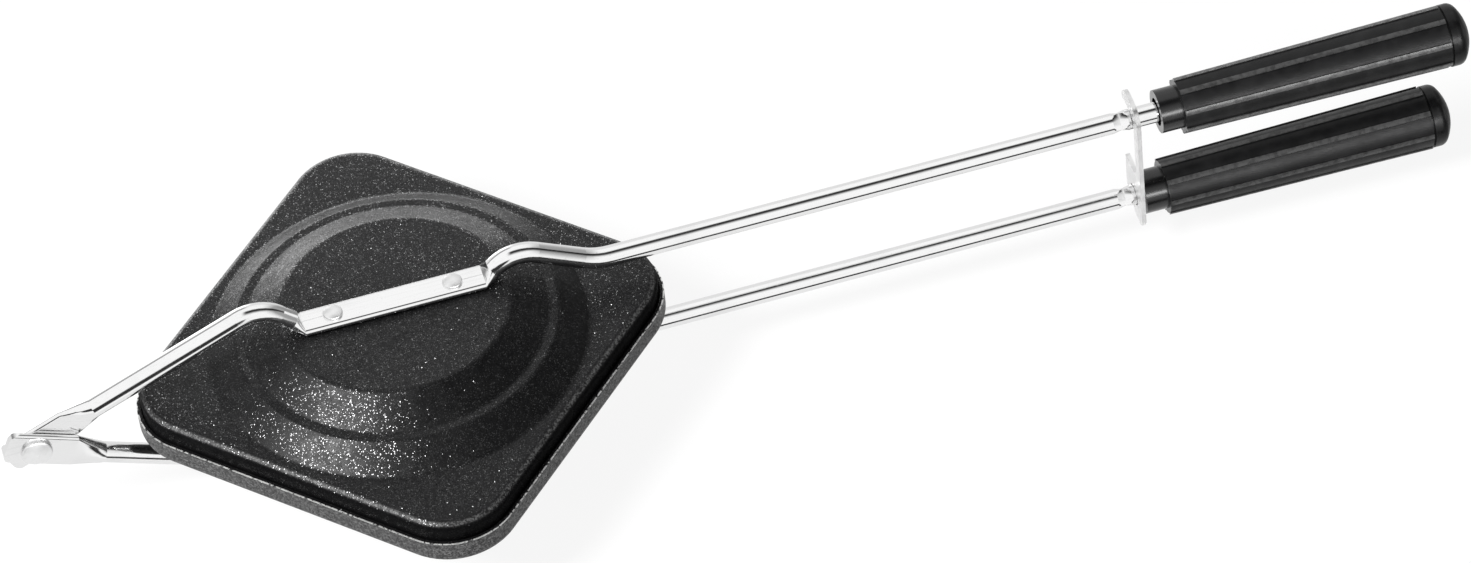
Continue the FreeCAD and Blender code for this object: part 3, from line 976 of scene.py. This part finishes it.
@dataclass(frozen=True)
class ClothZone:
    """A soft-edged zone of the tent's cloth, and what it adds to the cloth's level of one.

    The bearing goes round the drum in degrees: 0 is behind the iron, 90 above it, 180 or -180 in front of it
    and -90 beneath it. The other span goes along the drum, in metres to the right.
    """

    name: str
    change: float
    bearing: Span = Span()
    along: Span = Span()

    def level(self, bearing: Field, along: Field) -> Field:
        """The factor that the zone gives the cloth: one outside the zone."""
        return self.bearing.share(bearing) * self.along.share(along) * self.change + 1.0


GAP = -0.97
LEFT_OF_IRON = Span(fall=(-0.55, -0.35))
CLOTH_ZONES = (
    ClothZone("gap overhead", GAP, Span((80.0, 92.0), (104.0, 134.0)), Span(rise=(-1.0, -0.5))),
    ClothZone("gap low in front", GAP, Span((-168.0, -163.0), (-149.0, -143.0)), Span(rise=(-0.25, 0.0))),
    ClothZone("upper half of the gap at the left", GAP, Span(rise=(161.0, 167.0)), LEFT_OF_IRON),
    ClothZone("lower half of the gap at the left", GAP, Span(fall=(-162.0, -157.0)), LEFT_OF_IRON),
    ClothZone("shade behind", -0.20, Span((-60.0, -45.0), (25.0, 50.0))),
    ClothZone("shade beneath", -0.14, Span((-143.0, -135.0), (-60.0, -45.0))),
    ClothZone("dim right end", -0.65, along=Span(rise=(0.9, 3.2))),
    ClothZone("seam at the left", -0.75, Span((27.0, 34.0), (40.0, 50.0)), Span(fall=(-0.5, -0.1))),
    ClothZone("glow at the left", 1.7, Span((-50.0, -35.0), (5.0, 18.0)), Span((-1.4, -0.9), (-0.35, 0.15))),
)


@dataclass
class Studio:
    """The pale floor, the lamps, the light tent that mirrors show and the camera.

    The camera's angles are in degrees, and its lens and sensor in millimetres.
    """

    floor_half: float = 3.0
    floor_drop: float = 0.5 * MM
    floor_grey: Colour = (0.86, 0.86, 0.86, 1.0)
    floor_glow: float = 0.88
    ambient: float = 0.15
    lamps: "tuple[SoftLamp, ...]" = LAMPS

    tent_radius: float = 2.6
    tent_length: float = 18.0
    tent_height: float = 0.04
    tent_segments: int = 96
    tent_zones: "tuple[ClothZone, ...]" = CLOTH_ZONES

    azimuth: float = 10.794
    elevation: float = 47.165
    roll: float = -6.839
    distance: float = 2.365911
    target: Point = (-0.005466, -0.007710, 0.037217)
    focal_length: float = 174.97
    sensor_width: float = 36.0
    nearest_view: float = 0.05
    furthest_view: float = 20.0

    def build(self) -> None:
        """Builds the studio round the iron."""
        floor = self._floor()
        self._world()
        for lamp in self.lamps:
            lamp.build(self.target, {**frame["nodes"], "floor": floor})
        self._tent()
        self._camera()

    @staticmethod
    def _staged(name: str, shape: bmesh.types.BMesh, material: bpy.types.Material) -> bpy.types.Object:
        """Turns a finished shape into an object of the studio, which isn't part of the iron.

        Args:
            name: The object's name.
            shape: The shape, which is freed.
            material: What the object is made of.

        Returns:
            The object.
        """
        mesh = bpy.data.meshes.new(name)
        shape.to_mesh(mesh)
        shape.free()
        mesh.materials.append(material)
        made = bpy.data.objects.new(name, mesh)
        bpy.context.scene.collection.objects.link(made)
        return made

    def _floor(self) -> bpy.types.Object:
        """Makes the floor: white to the eye, with the iron's soft shadow.

        Returns:
            The floor's sheet.
        """
        material, graph = new_material("pale_floor")
        matt = graph.node("ShaderNodeBsdfDiffuse", {}, {"Color": self.floor_grey})
        glow = graph.node("ShaderNodeEmission", {}, {"Color": WHITE})
        graph.finish(graph.layered(matt, glow, graph.seen() * self.floor_glow))
        shape = bmesh.new()
        bmesh.ops.create_grid(shape, x_segments=1, y_segments=1, size=self.floor_half)
        bmesh.ops.translate(shape, vec=(0.0, 0.0, -self.floor_drop), verts=shape.verts)
        floor = self._staged("floor", shape, material)
        floor.visible_glossy = False
        return floor

    def _world(self) -> None:
        """Makes the surroundings: white to the eye and in mirrors, and a plain soft light elsewhere."""
        world = bpy.data.worlds.new("studio")
        bpy.context.scene.world = world
        world.use_nodes = True
        graph = Graph(world.node_tree)
        level = graph.seen() * (1 - self.ambient) + self.ambient
        back = graph.node("ShaderNodeBackground", {}, {"Color": level})
        graph.node("ShaderNodeOutputWorld", {}, {"Surface": back.outputs[0]})

    def _tent(self) -> None:
        """Hangs a drum about the iron's long axis that only mirrors show: the light tent and its gaps."""
        shape = bmesh.new()
        bmesh.ops.create_cone(
            shape,
            segments=self.tent_segments,
            radius1=self.tent_radius,
            radius2=self.tent_radius,
            depth=self.tent_length,
        )
        lying = Matrix.Translation((0.0, 0.0, self.tent_height)) @ Matrix.Rotation(math.pi / 2, 4, "Y")
        bmesh.ops.transform(shape, matrix=lying, verts=shape.verts)
        tent = self._staged("tent", shape, self._tent_cloth())
        tent.visible_camera = False
        tent.visible_diffuse = False
        tent.visible_shadow = False
        tent.visible_transmission = False
        tent.visible_volume_scatter = False

    def _tent_cloth(self) -> bpy.types.Material:
        """Makes the tent's glowing cloth, darker and brighter in its zones.

        Returns:
            The cloth.
        """
        material, graph = new_material("tent_cloth")
        along, across, height = graph.axes()
        bearing = (height - self.tent_height).bearing(across)
        level = 1.0
        for zone in self.tent_zones:
            level = zone.level(bearing, along) * level
            LOG.info("the tent has its %s", zone.name)
        graph.finish(graph.node("ShaderNodeEmission", {}, {"Color": level}))
        return material

    def _camera(self) -> None:
        """Puts the camera at the photograph's place."""
        turn, lift, roll = (math.radians(angle) for angle in (self.azimuth, self.elevation, self.roll))
        ahead = Vector((math.sin(turn) * math.cos(lift), math.cos(turn) * math.cos(lift), -math.sin(lift)))
        level = Vector((math.cos(turn), -math.sin(turn), 0.0))
        upright = level.cross(ahead)
        right = level * math.cos(roll) + upright * math.sin(roll)
        up = upright * math.cos(roll) - level * math.sin(roll)
        lens = bpy.data.cameras.new("camera")
        lens.sensor_width = self.sensor_width
        lens.lens = self.focal_length
        lens.clip_start = self.nearest_view
        lens.clip_end = self.furthest_view
        camera = bpy.data.objects.new("camera", lens)
        turned = Matrix((right, up, -ahead)).transposed().to_4x4()
        camera.matrix_world = Matrix.Translation(Vector(self.target) - ahead * self.distance) @ turned
        bpy.context.scene.collection.objects.link(camera)
        bpy.context.scene.camera = camera


def main() -> None:
    """Builds every sub-assembly in order, then the studio."""
    logging.basicConfig(level=logging.INFO, format="%(name)s: %(message)s")
    for assembly in (PlatePair(), TubeArms(), Latch(), Grips(), Studio()):
        assembly.build()
        LOG.info("built %s", type(assembly).__name__)
    bpy.context.scene.view_settings.view_transform = "Standard"


if __name__ == "__main__":
    main()
